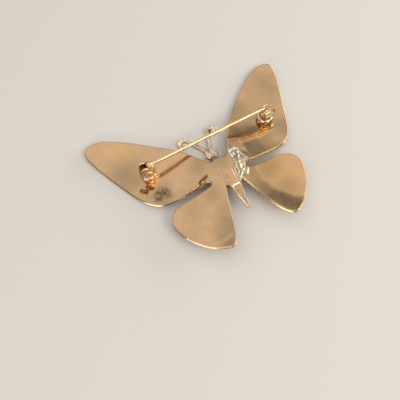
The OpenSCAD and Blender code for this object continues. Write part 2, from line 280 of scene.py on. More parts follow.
satin = add(tree, "ShaderNodeTexNoise", {"Scale": 1 / 0.003, "Detail": 4.0, "Roughness": 0.6}, Vector=place)
dull = add(tree, "ShaderNodeMath", {"operation": "MULTIPLY_ADD", "_1": 0.8}, _0=smoke_and_shade, _2=satin.outputs["Fac"])
rough = add(tree, "ShaderNodeMapRange", {"From Min": 0.3, "From Max": 1.1, "To Min": 0.09, "To Max": 0.36},
            Value=dull.outputs["Value"])
tree.links.new(rough.outputs["Result"], shader.inputs["Roughness"])

waves = add(tree, "ShaderNodeTexNoise", {"Scale": 1 / 0.0045, "Detail": 2.0, "Roughness": 0.4}, Vector=place)
rolled = add(tree, "ShaderNodeBump", {"Strength": 0.35, "Distance": 0.00006}, Height=waves.outputs["Fac"])
burnt = add(tree, "ShaderNodeMath", {"operation": "MAXIMUM", "use_clamp": True},
            _0=painted.outputs["Alpha"], _1=marks.outputs["Green"])
blisters = add(tree, "ShaderNodeTexNoise", {"Scale": 1 / 0.0009, "Detail": 2.0, "Distortion": 0.8},
               Vector=place)
raised = add(tree, "ShaderNodeMath", {"operation": "MULTIPLY"},
             _0=burnt.outputs["Value"], _1=blisters.outputs["Fac"])
blistered = add(tree, "ShaderNodeBump", {"Strength": 0.9, "Distance": 0.0003},
                Height=raised.outputs["Value"], Normal=rolled.outputs["Normal"])
tree.links.new(blistered.outputs["Normal"], shader.inputs["Normal"])

wing_outline = both_sides(
    neck_edge + wing_line(forewing_edge, 8) + slot_edge + wing_line(hindwing_edge, 8) + tail_edge)
wings = pressed_sheet(
    wing_outline, step=0.4, top=stamped_height, under=stamped_front, round_top=0.34, round_under=0.16)
wings = set_piece(wings, "wing_sheet", gold_plate, "brooch")
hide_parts("butterfly")


def near_line(x, y, line, width):
    """1 on a line of points and 0 beyond its width."""
    gap, spot = 9.0, Vector((x, y))
    for a, b in zip(line, line[1:]):
        a, b = Vector(a), Vector(b)
        t = min(max((spot - a).dot(b - a) / (b - a).length_squared, 0), 1)
        gap = min(gap, (spot - a - t * (b - a)).length)
    return ease(width, 0.25 * width, gap)


# Stains and painted light, on the hollow side alone: a smoky smudge and brown specks below the
# hinge, a band of painted shade inside the right hindwing's edge, a brown line where the left slot's
# edge is turned, with a thin one beyond it, round patches of painted shade (x, y, radius, amount),
# and amber (line, width, amount): a streak below the hinge, painted reflection of the wire and catch
# beside the catch, and a faint wide one on a hindwing.
smudge = [(-18.1, -0.9), (-17.4, 0.2), (-16.6, 0.5), (-15.8, 0.3), (-15.6, -0.8)]
shade_band = [(8.7, -16.0), (9.3, -17.6), (10.2, -19.2), (11.2, -19.4)]
specks = [[(-18.9, 3.6), (-18.7, 3.3)], [(-20.6, 3.2), (-19.7, 2.2)], [(-18.9, 3.0), (-18.0, 2.5)]]
turned_edge = [(-5.2, -2.35), (-6.4, -2.65), (-7.3, -2.92)]
thin_edge = [(-7.3, -3.0), (-8.8, -3.45), (-10.0, -3.62), (-11.5, -3.75)]
shade_spots = [
    (-21.5, 9.0, 9.5, 0.50), (-18.5, 2.0, 7.0, 0.45), (-20.6, 6.4, 4.0, 0.5), (-5.0, -12.0, 4.0, 0.35),
    (-7.0, -17.0, 6.5, 0.55), (9.0, 3.5, 7.0, 0.40), (15.0, 6.0, 9.0, 0.40), (12.5, 12.0, 7.0, 0.5),
    (20.5, 1.0, 5.0, 0.55), (22.0, 14.0, 9.0, 0.35), (-16.8, -1.9, 4.0, 0.55), (-6.3, -7.1, 3.5, 0.5),
    (-9.5, -18.7, 4.0, 0.65), (6.4, -12.0, 4.5, 0.65), (11.5, -13.8, 5.5, 0.55), (10.2, -7.2, 6.5, 0.7),
    (0.0, 0.5, 5.0, 0.5), (-5.0, 2.0, 5.0, 0.4)]
# Amber lines: a streak below the hinge, painted reflection of the wire and catch beside the catch, and a faint
# wide one on a hindwing.
amber_lines = [
    ([(-16.2, 4.3), (-17.6, 3.7), (-18.8, 2.6)], 1.6, 0.9), ([(16.0, 3.0), (13.3, 2.5)], 1.7, 0.9),
    ([(13.3, 2.5), (8.6, 2.9)], 1.4, 0.6), ([(11.5, -9.0), (15.5, -14.5)], 7.0, 0.2)]


def stains_and_painted_light(x, y, z):
    if z < stamped_height(x, y) - 0.6 * sheet:
        return 0, 0, 0, 0
    smudge_and_shade = max(0.72 * near_line(x, y, smudge, 1.7), 0.5 * near_line(x, y, shade_band, 2.2))
    coppery = max(
        [1.25 * near_line(x, y, speck, 0.78) for speck in specks]
        + [1.1 * near_line(x, y, turned_edge, 0.55), 0.35 * near_line(x, y, thin_edge, 0.35)])
    shade = max(part * ease(size, 0.1 * size, math.hypot(x - gx, y - gy)) for gx, gy, size, part in shade_spots)
    amber_amount = max(part * near_line(x, y, line, size) for line, size, part in amber_lines)
    return smudge_and_shade, coppery, shade, amber_amount


paint(wings, stains_and_painted_light)

# ---------------------------------------------------------------------------
# The body: a round hollow thorax under the root plate, its edges showing as
# fine ridges towards the tail, and a tapering tail, pressed as a trough, with
# a ring where it starts. It is stamped with the wings.
# ---------------------------------------------------------------------------
# The same plate on the small raised parts, painted paler and less pink than the wings as a
# highlight, with browner patches of about 2 mm.
highlight_pale_plate, tree, shader, place = new_metal("rose_gold_plate_painted_pale")
pale_patches = add(tree, "ShaderNodeTexNoise", {"Scale": 1 / 0.0018, "Detail": 4.0, "Roughness": 0.6}, Vector=place)
skin = add(tree, "ShaderNodeValToRGB", {"stops": [(0.30, "BFA286"), (0.45, "E2CCB3"), (0.64, "F8EDDE")]},
           Fac=pale_patches.outputs["Fac"])
tree.links.new(skin.outputs["Color"], shader.inputs["Base Color"])
rough = add(tree, "ShaderNodeMapRange", {"To Min": 0.32, "To Max": 0.14}, Value=pale_patches.outputs["Fac"])
tree.links.new(rough.outputs["Result"], shader.inputs["Roughness"])
dents = add(tree, "ShaderNodeTexNoise", {"Scale": 1 / 0.0007, "Detail": 2.0}, Vector=place)
dented = add(tree, "ShaderNodeBump", {"Strength": 0.4, "Distance": 0.00005}, Height=dents.outputs["Fac"])
tree.links.new(dented.outputs["Normal"], shader.inputs["Normal"])


def lathe(bm, profile, centre, axis, steps, closed=False):
    """Spins a profile of points in mm once round an axis, and closes its seam and its poles."""
    line = [bm.verts.new(point) for point in profile]
    edges = [bm.edges.new(pair) for pair in zip(line, line[1:] + line[:1] if closed else line[1:])]
    bmesh.ops.spin(
        bm, geom=line + edges, cent=centre, axis=axis, angle=2 * math.pi, steps=steps, use_merge=True)
    bmesh.ops.remove_doubles(bm, verts=bm.verts[:], dist=1e-4)
    bmesh.ops.recalc_face_normals(bm, faces=bm.faces[:])


# The body is turned round a line along Y at axis_z. Its profile is in shares of its length and
# half its width.
neck_y, body_length, body_half, axis_z = 1.0965, 15.7, 3.1, 3.1
thorax_end, ring_y, tail_y = -7.77, -7.85, -14.6
body_profile = [(0, 0.35), (0.06, 0.72), (0.16, 0.94), (0.27, 1), (0.38, 0.86), (0.48, 0.58), (0.565, 0.41)]
body_line = [(half * body_half, neck_y - share * body_length) for share, half in smooth_line(body_profile, 3)]

bm = bmesh.new()
lathe(bm, [(0, y, axis_z + r) for r, y in [(0, neck_y)] + body_line + [(0, thorax_end)]],
      centre=(0, 0, axis_z), axis=(0, 1, 0), steps=48)
for v in bm.verts:
    v.co.z = min(v.co.z, back_height(v.co.x, v.co.y) - 0.5 * sheet)
set_piece(bm, "thorax_front", gold_plate, "brooch", crease=50)

ridge_side = [
    (1.2, -2.42), (1.9, -2.6), (2.08, -3.1), (2.04, -4.4), (1.90, -6.07), (1.56, -7.6), (1.52, -7.72)]
ridge_outline = both_sides([(0.0, -2.4)] + smooth_line(ridge_side, 4) + [(0.0, -7.74)])
outer_fold = [(1.96, -3.0), (1.94, -4.4), (1.74, -6.07), (1.36, -8.0)]
inner_fold = [(1.22, -3.9), (1.06, -5.2), (0.82, -6.6), (0.58, -7.75)]


def ridge_height(x, y):
    fold = 0.13 * near_line(abs(x), y, outer_fold, 0.30) + 0.13 * near_line(abs(x), y, inner_fold, 0.30)
    return back_height(x, y) + 0.16 * ease(-2.9, -4.8, y) - 0.08 + fold * ease(-3.2, -5.2, y)


ridge = pressed_sheet(
    ridge_outline, step=0.13, top=ridge_height, under=lambda x, y: back_height(x, y) - 0.3,
    round_top=0.10, round_under=0.02)
set_piece(ridge, "thorax_back", gold_plate, "brooch")

# The tail is turned round too, and its upper side is then pressed down between two rims, which
# stand at trough_edge degrees from the top. The whole of it is lifted towards the back's height.
tail_steps, tail_r, tail_thins, trough_edge = 16, 1.25, 1.02, 80
taper = [
    (tail_r - tail_thins * s, ring_y - s * (ring_y - tail_y))
    for s in [k / tail_steps for k in range(tail_steps + 1)]]


def tail_lift(share, r):
    return (0.34 + 0.62 * ease(0.5, 0.0, share)) * min(r / 0.9, 1.0)


bm = bmesh.new()
lathe(bm, [(0, y, axis_z + r) for r, y in [(0, ring_y)] + taper + [(0, tail_y)]],
      centre=(0, 0, axis_z), axis=(0, 1, 0), steps=60)
for v in bm.verts:
    share = (ring_y - v.co.y) / (ring_y - tail_y)
    angle, r = math.degrees(math.atan2(v.co.x, v.co.z - axis_z)), math.hypot(v.co.x, v.co.z - axis_z)
    lift = tail_lift(share, r)
    if r < 0.1:
        v.co.z += lift
    elif abs(angle) > trough_edge:
        v.co.z += lift * ease(180, trough_edge, abs(angle))
    else:
        across = angle / trough_edge
        depth = (0.06 + 0.24 * ease(0.05, 0.4, share)) * (1 - ease(0.6, 1.0, share))
        v.co.z = axis_z + r * math.cos(math.radians(trough_edge)) + lift - depth * (1 - abs(across) ** 5)
        v.co.x = r * math.sin(math.radians(trough_edge)) * across
tail = set_piece(bm, "tail_trough", gold_plate, "brooch", crease=60)
# Painted shade over the tail, darker along the middle of its trough.
paint(tail, lambda x, y, z: (0, 0, 0.25 if abs(x) < 0.8 else 0.1, 0))


def extrude_ring(bm, edges):
    """Extrudes a closed ring of edges, and gives the points and the edges of the new ring."""
    made = bmesh.ops.extrude_edge_only(bm, edges=edges)["geom"]
    ring = [g for g in made if isinstance(g, bmesh.types.BMVert)]
    return ring, [
        g for g in made if isinstance(g, bmesh.types.BMEdge) and g.verts[0] in ring and g.verts[1] in ring]


def fold_along(bm, line, thick):
    """A rounded fold of metal along a line of points in mm, its ends closed."""
    points = [Vector(p) for p in line]
    ring = bmesh.ops.create_circle(bm, segments=10, radius=thick)["verts"]
    heading = (points[1] - points[0]).normalized().to_track_quat("Z", "X").to_matrix().to_4x4()
    bmesh.ops.transform(bm, verts=ring, matrix=Matrix.Translation(points[0]) @ heading)
    edges = list(dict.fromkeys(e for v in ring for e in v.link_edges))
    bmesh.ops.contextual_create(bm, geom=edges)
    for a, b in zip(points, points[1:]):
        ring, edges = extrude_ring(bm, edges)
        bmesh.ops.translate(bm, verts=ring, vec=b - a)
    bmesh.ops.contextual_create(bm, geom=edges)


# Folds of the same metal, painted pale as highlight: two along each side of the thorax, which
# sink into it at the front, and one on each rim of the tail, where the left rim is rolled thicker.
rim_across, rim_up = 0.985, 0.174
bm = bmesh.new()
for side, rim_thick in ((-1, 0.27), (1, 0.14)):
    for fold, thick in ((outer_fold, 0.15), (inner_fold, 0.13)):
        fold_along(bm, [
            (side * x, y, back_height(x, y) + 0.10 - 0.22 * ease(-3.9, -3.0, y))
            for x, y in smooth_line(fold, 6)], thick)
    fold_along(bm, [
        (side * (rim_across * r), y, axis_z + rim_up * r + tail_lift(k / tail_steps, r) - 0.08)
        for k, (r, y) in enumerate(taper[:-1])], rim_thick)
bmesh.ops.recalc_face_normals(bm, faces=bm.faces[:])
set_piece(bm, "body_folds", highlight_pale_plate, "brooch", crease=60)

# The ring where the tail starts: a round bead under the back's edge, and over it a flat band that
# shows on the back as one bright line. Both take the plate painted pale as highlight.
bead_y, bead_r, bead_thick = ring_y - 0.12, 1.32, 0.17
bm = bmesh.new()
bead = bmesh.ops.create_circle(bm, segments=12, radius=bead_thick)["verts"]
bmesh.ops.rotate(bm, verts=bead, cent=(0, 0, 0), matrix=Matrix.Rotation(math.radians(90), 3, "Y"))
bmesh.ops.scale(bm, verts=bead, vec=(1, 1.3, 1))
bmesh.ops.translate(bm, verts=bead, vec=(0, bead_y, axis_z + bead_r))
bmesh.ops.spin(
    bm, geom=bead + bm.edges[:], cent=(0, bead_y, axis_z), axis=(0, 1, 0), angle=2 * math.pi, steps=48,
    use_merge=True)
bmesh.ops.remove_doubles(bm, verts=bm.verts[:], dist=1e-4)
bmesh.ops.recalc_face_normals(bm, faces=bm.faces[:])
for v in bm.verts:
    v.co.z = min(v.co.z, back_height(v.co.x, v.co.y) - 0.1)
set_piece(bm, "tail_ring", highlight_pale_plate, "brooch")


def band_height(x, y):
    return back_height(x, y) + 0.12 - 0.50 * max(-7.86 - y, 0.0) - 0.1 * ease(1.0, 1.45, abs(x))


band_outline = [(-1.36, -8.14), (1.36, -8.14), (1.48, -7.62), (-1.48, -7.62)]
ring_band = pressed_sheet(
    band_outline, step=0.13, top=band_height, under=lambda x, y: band_height(x, y) - 0.5,
    round_top=0.07, round_under=0.04)
set_piece(ring_band, "tail_ring_band", highlight_pale_plate, "brooch")

# ---------------------------------------------------------------------------
# The head: a small crumpled plate with two round eyes, lower than the back,
# joined to it by a sloping neck. It is stamped from the same sheet.
# ---------------------------------------------------------------------------
neck_outline = [(-0.85, -0.5), (0.85, -0.5), (0.80, 1.2), (0.78, 3.3), (-0.78, 3.3), (-0.80, 1.2)]


def neck_top(y):
    return 3.0 - 0.562 * (y + 0.14)


neck = pressed_sheet(
    neck_outline, step=0.35, top=lambda x, y: max(neck_top(y), 0.9) - 0.12 * x * x,
    under=lambda x, y: max(neck_top(y) - 1.05, 0.02), round_top=0.2, round_under=0.1)
set_piece(neck, "neck", gold_plate, "brooch")

head_y, head_half_w, head_half_l, head_t, corner = 4.08, 1.35, 1.30, 0.95, 0.5
head_outline = []
for quarter, (sx, sy) in enumerate([(1, 1), (-1, 1), (-1, -1), (1, -1)]):
    for k in range(5):
        a = math.radians(90 * quarter + 22.5 * k)
        head_outline.append((
            sx * (head_half_w - corner) + corner * math.cos(a),
            head_y + sy * (head_half_l - corner) + corner * math.sin(a)))


def crumpled(x, y):
    broad = 0.26 * noise.noise(Vector((x * 1.5 + 4.2, y * 1.5, 0.7)))
    return head_t - 0.04 + broad - 0.10 * abs(noise.noise(Vector((x * 3.1, y * 3.1, 5.0))))


# The head and its eyes take the plate painted pale as highlight.
head = pressed_sheet(
    head_outline, step=0.2, top=crumpled, under=lambda x, y: 0.0, round_top=0.22, round_under=0.12)
set_piece(head, "head_plate", highlight_pale_plate, "brooch")

for side, dimple, name in ((-1, 0.35, "eye_left"), (1, 0.62, "eye_right")):
    bm = bmesh.new()
    profile = [
        (0, dimple), (0.15, dimple + 0.02), (0.26, 0.74), (0.36, 0.90), (0.46, 0.84), (0.50, 0.66),
        (0.50, 0.06), (0.44, 0.0), (0, 0.0)]
    lathe(bm, [(r, 0, z) for r, z in profile], centre=(0, 0, 0), axis=(0, 0, 1), steps=28)
    bmesh.ops.translate(bm, verts=bm.verts[:], vec=(side * 1.24, head_y - 0.13, 0))
    set_piece(bm, name, highlight_pale_plate, "brooch", crease=50)

# ---------------------------------------------------------------------------
# The antennae: two strips of the same metal, each with a groove between two
# bright edges, curled outwards at the end round a small ball.
# ---------------------------------------------------------------------------
# The antennae take the plate painted pale as highlight.
strip_section = [
    (-0.45, 0.10), (-0.36, 0.0), (0.36, 0.0), (0.45, 0.10), (0.45, 0.80), (0.40, 0.92), (0.30, 0.95),
    (0.22, 0.88), (0.13, 0.64), (-0.13, 0.64), (-0.22, 0.88), (-0.30, 0.95), (-0.40, 0.92), (-0.45, 0.80)]
root_x, root_front, sunk = 0.54, 5.25, 0.5
curl_r, curl_angle, legs, turns, tight_turns = 1.15, 225, 5, 26, 10
ball_r, ball_flat, ball_z = 0.76, 0.85, 0.66
for side, lean, stalk, name in ((-1, 31, 6.50, "antenna_left"), (1, 20, 5.78, "antenna_right")):
    bm = bmesh.new()
    lean = math.radians(lean) * side
    ahead = Vector((math.sin(lean), math.cos(lean), 0))
    aside = Vector((math.cos(lean), -math.sin(lean), 0))
    root = Vector((side * root_x, root_front, 0)) - sunk * ahead
    section = bm.faces.new([bm.verts.new(root + aside * a + Vector((0, 0, z))) for a, z in strip_section])
    edges = section.edges[:]
    middle, centre = root.copy(), root + ahead * (stalk + sunk) + aside * curl_r * side
    leg = ahead * (stalk + sunk) / legs
    spin = Matrix.Rotation(-side * math.radians(curl_angle) / turns, 3, "Z")
    for k in range(legs + turns):
        ring, edges = extrude_ring(bm, edges)
        if k < legs:
            bmesh.ops.translate(bm, verts=ring, vec=leg)
            middle += leg
        else:
            curl_in, widen = (0.970, 1.078) if k < legs + tight_turns else (1.0, 1.0)
            bmesh.ops.rotate(bm, verts=ring, cent=centre, matrix=spin)
            bmesh.ops.scale(bm, verts=ring, vec=(curl_in, curl_in, 1), space=Matrix.Translation(-centre))
            middle = centre + curl_in * (spin @ (middle - centre))
            bmesh.ops.scale(bm, verts=ring, vec=(widen, widen, 1), space=Matrix.Translation(-middle))
    bmesh.ops.contextual_create(bm, geom=edges)
    bmesh.ops.recalc_face_normals(bm, faces=bm.faces[:])
    ball = bmesh.ops.create_uvsphere(bm, u_segments=20, v_segments=12, radius=ball_r)["verts"]
    bmesh.ops.scale(bm, verts=ball, vec=(1, 1, ball_flat))
    bmesh.ops.translate(bm, verts=ball, vec=(
        0.55 * middle.x + 0.45 * centre.x, 0.55 * middle.y + 0.45 * centre.y, ball_z))
    set_piece(bm, name, highlight_pale_plate, "brooch", crease=50)

# ---------------------------------------------------------------------------
# The mend: a lump of soft solder over the root of the right wings, crumpled
# and pale, left from an old repair.
# ---------------------------------------------------------------------------
# Tin-lead solder, melted and wiped: a dull greenish white metal in patches of 1.6 mm, with a skin
# of fine wrinkles 0.9 mm wide. The red of "marks" is where it has run thin and the warm plate
# shows through.
solder, tree, shader, place = new_metal("soft_solder_wrinkled")
patches = add(tree, "ShaderNodeTexNoise", {"Scale": 1 / 0.0016, "Detail": 4.0, "Roughness": 0.6}, Vector=place)
skin = add(tree, "ShaderNodeValToRGB", {"stops": [(0.34, "8F8872"), (0.50, "C6C3AA"), (0.63, "F5F5E6")]},
           Fac=patches.outputs["Fac"])
painted = add(tree, "ShaderNodeVertexColor", {"layer_name": "marks"})
thin = add(tree, "ShaderNodeSeparateColor", {}, Color=painted.outputs["Color"])
bared = add(tree, "ShaderNodeMix", {"data_type": "RGBA", "_7": linear("B8966E")},
            _0=thin.outputs["Red"], _6=skin.outputs["Color"])
tree.links.new(bared.outputs[2], shader.inputs["Base Color"])
rough = add(tree, "ShaderNodeMapRange", {"To Min": 0.15, "To Max": 0.38}, Value=patches.outputs["Fac"])
tree.links.new(rough.outputs["Result"], shader.inputs["Roughness"])
wrinkles = add(tree, "ShaderNodeTexNoise", {"Scale": 1 / 0.0009, "Detail": 3.0, "Distortion": 1.2},
               Vector=place)
wrinkled = add(tree, "ShaderNodeBump", {"Strength": 0.7, "Distance": 0.00012}, Height=wrinkles.outputs["Fac"])
tree.links.new(wrinkled.outputs["Normal"], shader.inputs["Normal"])

solder_edge = [
    (0.110, 0.060), (0.150, 0.085), (0.205, 0.070), (0.215, -0.050), (0.240, -0.130), (0.190, -0.150),
    (0.150, -0.190), (0.180, -0.260), (0.145, -0.325), (0.100, -0.330), (0.055, -0.345), (0.070, -0.230),
    (0.095, -0.090), (0.110, 0.060)]
# Raised seams where the solder set in folds, and places where it has run thin (line, width, amount).
seams = [
    [(3.47, 1.08), (3.07, -0.54), (2.74, -2.51), (2.45, -4.39), (2.28, -5.61), (1.76, -6.92)],
    [(3.64, 1.35), (4.68, 1.50), (6.20, 1.30), (6.30, -0.81), (6.6, -2.77)],
    [(4.71, -4.58), (4.95, -5.42), (4.80, -6.27), (4.17, -6.75), (3.39, -7.0)],
    [(4.71, -4.58), (3.63, -5.35), (2.57, -6.08), (2.02, -6.74)],
    [(4.2, 0.31), (4.28, -1.94), (5.08, -3.06)],
    [(5.45, 0.83), (4.62, -1.41), (3.74, -3.74), (3.03, -5.36)]]
bare = [
    ([(4.40, -5.25), (3.55, -6.25)], 0.8, 0.95), ([(3.3, -2.2), (3.0, -4.6)], 0.5, 0.5),
    ([(5.2, -1.6), (5.4, -2.6)], 0.9, 0.7)]


def run_thin(x, y):
    return max(near_line(x, y, line, width) * part for line, width, part in bare)


def mend_height(x, y):
    spot = Vector((x * 0.55, y * 0.55, 2.0))
    fold = abs(noise.noise(spot)) + 0.45 * abs(noise.noise(spot * 2.6)) + 0.25 * abs(noise.noise(spot * 5.5))
    seam = max(near_line(x, y, line, 0.42) for line in seams)
    return stamped_height(x, y) + 0.20 - 0.42 * fold + 0.26 * seam - 0.12 * run_thin(x, y)


mend = pressed_sheet(
    wing_line(solder_edge, 3)[:-1], step=0.16, top=mend_height,
    under=lambda x, y: stamped_height(x, y) - 0.4, round_top=0.22, round_under=0.02)
mend = set_piece(mend, "solder_mend", solder, "brooch")
paint(mend, lambda x, y, z: (run_thin(x, y), 0, 0, 0))

# ---------------------------------------------------------------------------
# The hinge: two ears with round lobes, bent up from one strip of brass, on a
# round pad that is soldered into the hollow of the left forewing.
# ---------------------------------------------------------------------------
# Bright gold plate on small polished findings: paler and sharper than the wings, in patches of
# 1.4 mm, with dents of 0.8 mm. The green of "marks" is painted shade in brown: in the barrel's bore
# and low on its west end, on the ears, over the hinge's bridge and round the pads' middles.
bright_plate, tree, shader, place = new_metal("yellow_gold_plate_bright")
thin = add(tree, "ShaderNodeTexNoise", {"Scale": 1 / 0.0014, "Detail": 3.0}, Vector=place)
skin = add(tree, "ShaderNodeValToRGB", {"stops": [(0.28, "C7A07C"), (0.44, "E6CBAA"), (0.7, "F4E2C8")]},
           Fac=thin.outputs["Fac"])
painted = add(tree, "ShaderNodeVertexColor", {"layer_name": "marks"})
shade_amount = add(tree, "ShaderNodeSeparateColor", {}, Color=painted.outputs["Color"])
# Brown for the painted shade in the findings' recesses.
shaded = add(tree, "ShaderNodeMix", {"data_type": "RGBA", "_7": linear("7E4E30")},
              _0=shade_amount.outputs["Green"], _6=skin.outputs["Color"])
tree.links.new(shaded.outputs[2], shader.inputs["Base Color"])
rough = add(tree, "ShaderNodeMapRange", {"To Min": 0.12, "To Max": 0.30}, Value=thin.outputs["Fac"])
tree.links.new(rough.outputs["Result"], shader.inputs["Roughness"])
dents = add(tree, "ShaderNodeTexNoise", {"Scale": 1 / 0.0008, "Detail": 2.0}, Vector=place)
dented = add(tree, "ShaderNodeBump", {"Strength": 0.4, "Distance": 0.00005}, Height=dents.outputs["Fac"])
tree.links.new(dented.outputs["Normal"], shader.inputs["Normal"])

wire_y, wire_z, hinge_x = 6.9, 5.1, -16.2
pad_r, pad_sunk, pad_rise = 2.1, 0.45, 0.65


def pad(name, x, y):
    """A round pad with a soft rim, seated in the wing's hollow, with painted shade in brown round its middle.
    """
    foot, top = back_height(x, y) - pad_sunk, back_height(x, y) + pad_rise
    bm = bmesh.new()
    profile = [
        (0, foot), (pad_r, foot), (pad_r + 0.04, foot + 0.6), (pad_r, top - 0.3), (pad_r - 0.10, top - 0.1),
        (pad_r - 0.3, top), (pad_r - 0.8, top + 0.02), (0, top)]
    lathe(bm, [(r, 0, z) for r, z in profile], centre=(0, 0, 0), axis=(0, 0, 1), steps=56)
    bmesh.ops.translate(bm, verts=bm.verts[:], vec=(x, y, 0))
    disc = set_piece(bm, name, bright_plate, "brooch", crease=50)
    paint(disc, lambda px, py, pz: (0, 0.6 * ease(1.8, 1.2, math.hypot(px - x, py - y)), 0, 0))


def bevel(bm, width, segments=2):
    """Rounds every sharp edge of a solid."""
    sharp = [e for e in bm.edges if len(e.link_faces) == 2 and e.calc_face_angle() > math.radians(35)]
    bmesh.ops.bevel(
        bm, geom=sharp, offset=width, affect="EDGES", segments=segments, profile=0.5, material=-1,
        clamp_overlap=True)


def thicken(bm, face, along):
    """Makes a solid of a flat face, by extruding it along a vector."""
    made = bmesh.ops.extrude_face_region(bm, geom=[face], use_keep_orig=True)["geom"]
    bmesh.ops.translate(bm, verts=[g for g in made if isinstance(g, bmesh.types.BMVert)], vec=along)
    bmesh.ops.recalc_face_normals(bm, faces=bm.faces[:])


def block(size, middle):
    """A plain block of metal."""
    bm = bmesh.new()
    verts = bmesh.ops.create_cube(bm, size=1)["verts"]
    bmesh.ops.scale(bm, verts=verts, vec=size)
    bmesh.ops.translate(bm, verts=verts, vec=middle)
    return bm


pad("hinge_pad", -17.1, wire_y)
ear_foot, ear_t, ear_r, ear_gap, lobe_step, lobe_cuts = 1.24, 0.5, 0.95, 0.63, 1.8, 12
for side, name in ((-1, "hinge_ear_south"), (1, "hinge_ear_north")):
    lobes = []
    for centre, first, last in ((hinge_x, -20, 148), (hinge_x - lobe_step, 32, 200)):
        for k in range(lobe_cuts + 1):
            a = math.radians(first + (last - first) * k / lobe_cuts)
            lobes.append((centre + ear_r * math.cos(a), wire_z + ear_r * math.sin(a)))
    lobes += [(hinge_x - lobe_step - ear_r, ear_foot), (hinge_x + ear_r, ear_foot)]
    bm = bmesh.new()
    face = bm.faces.new([bm.verts.new((x, wire_y + side * ear_gap, z)) for x, z in lobes])
    thicken(bm, face, (0, side * ear_t, 0))
    bevel(bm, width=0.13)
    ear = set_piece(bm, name, bright_plate, "brooch", crease=40)
    # Painted shade in brown on the ears' inner faces, and elsewhere darker towards their feet.
    paint(ear, lambda x, y, z: (0, 0.5 if abs(y - wire_y) < 0.7 else 0.5 * ease(3.6, 1.4, z), 0, 0))

bridge_w, bridge_h = 1.76, 1.2
bm = block(
    (lobe_step + 2 * ear_r, bridge_w, bridge_h), (hinge_x - lobe_step / 2, wire_y, ear_foot + bridge_h / 2))
bmesh.ops.subdivide_edges(bm, edges=bm.edges[:], cuts=2, use_grid_fill=True)
bevel(bm, width=0.2, segments=3)
bridge = set_piece(bm, "hinge_bridge", bright_plate, "brooch", crease=40)
# Painted shade in brown over the whole bridge, low between the ears.
paint(bridge, lambda x, y, z: (0, 0.75, 0, 0))

# ---------------------------------------------------------------------------
# The rivet: a short brass pin through both ears and the eye of the wire, its
# ends peened to low round heads.
# ---------------------------------------------------------------------------
rivet_half = 1.18
profile = [
    (0, rivet_half + 0.10), (0.2, rivet_half + 0.08), (0.4, rivet_half), (0.4, rivet_half - 0.05), (0.39, 0)]
profile += [(r, -y) for r, y in reversed(profile[:-1])]
bm = bmesh.new()
lathe(bm, [(r, y, 0) for r, y in profile], centre=(0, 0, 0), axis=(0, 1, 0), steps=32)
bmesh.ops.translate(bm, verts=bm.verts[:], vec=(hinge_x, wire_y, wire_z))
rivet = set_piece(bm, "rivet", bright_plate, "brooch", crease=50)
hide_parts("hinge_rivet")

# ---------------------------------------------------------------------------
# The pin wire: hard-drawn round wire, bright gold plated, flattened to an eye
# at the hinge and ground to a sharp point at the other end.
# ---------------------------------------------------------------------------
# Drawn wire under bright plate: pale yellow, nearly a mirror, with fine lines along it. The lines
# are 0.2 mm wide, coarser than real ones, so that they show.
wire_plate, tree, shader, place = new_metal("pale_gold_plated_wire")
along = add(tree, "ShaderNodeMapping", {"Scale": (1.0, 14.0, 14.0)}, Vector=place)
drawn = add(tree, "ShaderNodeTexNoise", {"Scale": 1 / 0.003, "Detail": 3.0}, Vector=along.outputs["Vector"])
skin = add(tree, "ShaderNodeValToRGB", {"stops": [(0.3, "E9C896"), (0.7, "F6DDB4")]}, Fac=drawn.outputs["Fac"])
tree.links.new(skin.outputs["Color"], shader.inputs["Base Color"])
rough = add(tree, "ShaderNodeMapRange", {"To Min": 0.14, "To Max": 0.30}, Value=drawn.outputs["Fac"])
tree.links.new(rough.outputs["Result"], shader.inputs["Roughness"])

wire_r = 0.45
profile = [(0, 0.55), (0.43, 0.60), (wire_r, 1.0)] + [(wire_r, x) for x in (6, 12, 18, 24, 30)]
profile += [(wire_r, 33.0), (0.44, 33.4), (0.36, 34.1), (0.24, 35.0), (0.10, 35.9), (0.04, 36.08), (0, 36.1)]
eye = [(0.44, 0.45), (0.52, 0.55), (0.80, 0.55), (0.88, 0.47), (0.90, 0.38)]
eye += [(r, -y) for r, y in reversed(eye)]
bm = bmesh.new()
lathe(bm, [(x, 0, r) for r, x in profile], centre=(0, 0, 0), axis=(1, 0, 0), steps=40)
lathe(bm, [(r, y, 0) for r, y in eye], centre=(0, 0, 0), axis=(0, 1, 0), steps=40, closed=True)
bmesh.ops.translate(bm, verts=bm.verts[:], vec=(hinge_x, wire_y, wire_z))
wire = set_piece(bm, "pin_wire", wire_plate, "stem", crease=45)
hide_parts("pin_stem")

# ---------------------------------------------------------------------------
# The catch: an open barrel of brass on a round pad in the right forewing, with
# a slotted safety sleeve inside that a small lever turns over the wire.
# ---------------------------------------------------------------------------
catch_x, catch_l, barrel_y, barrel_z = 17.0, 2.5, 6.55, 3.4
pad("catch_pad", catch_x + catch_l / 2, barrel_y)


def open_tube(inner, outer, length, half_gap, round_edge):
    """A tube of the catch along X, its section spun round from one lip of its mouth to the other.
    half_gap is half the mouth's width in degrees."""
    bm = bmesh.new()
    corners = ((0, inner), (length, inner), (length, outer), (0, outer))
    section = [bm.verts.new((catch_x + x, 0, r)) for x, r in corners]
    face = bm.faces.new(section)
    bmesh.ops.rotate(bm, verts=section, cent=(0, 0, 0), matrix=Matrix.Rotation(math.radians(half_gap), 3, "X"))
    bmesh.ops.spin(
        bm, geom=[face], cent=(0, 0, 0), axis=(1, 0, 0), angle=math.radians(360 - 2 * half_gap), steps=44)
    bmesh.ops.recalc_face_normals(bm, faces=bm.faces[:])
    bevel(bm, round_edge)
    bmesh.ops.translate(bm, verts=bm.verts[:], vec=(0, barrel_y, barrel_z))
    return bm


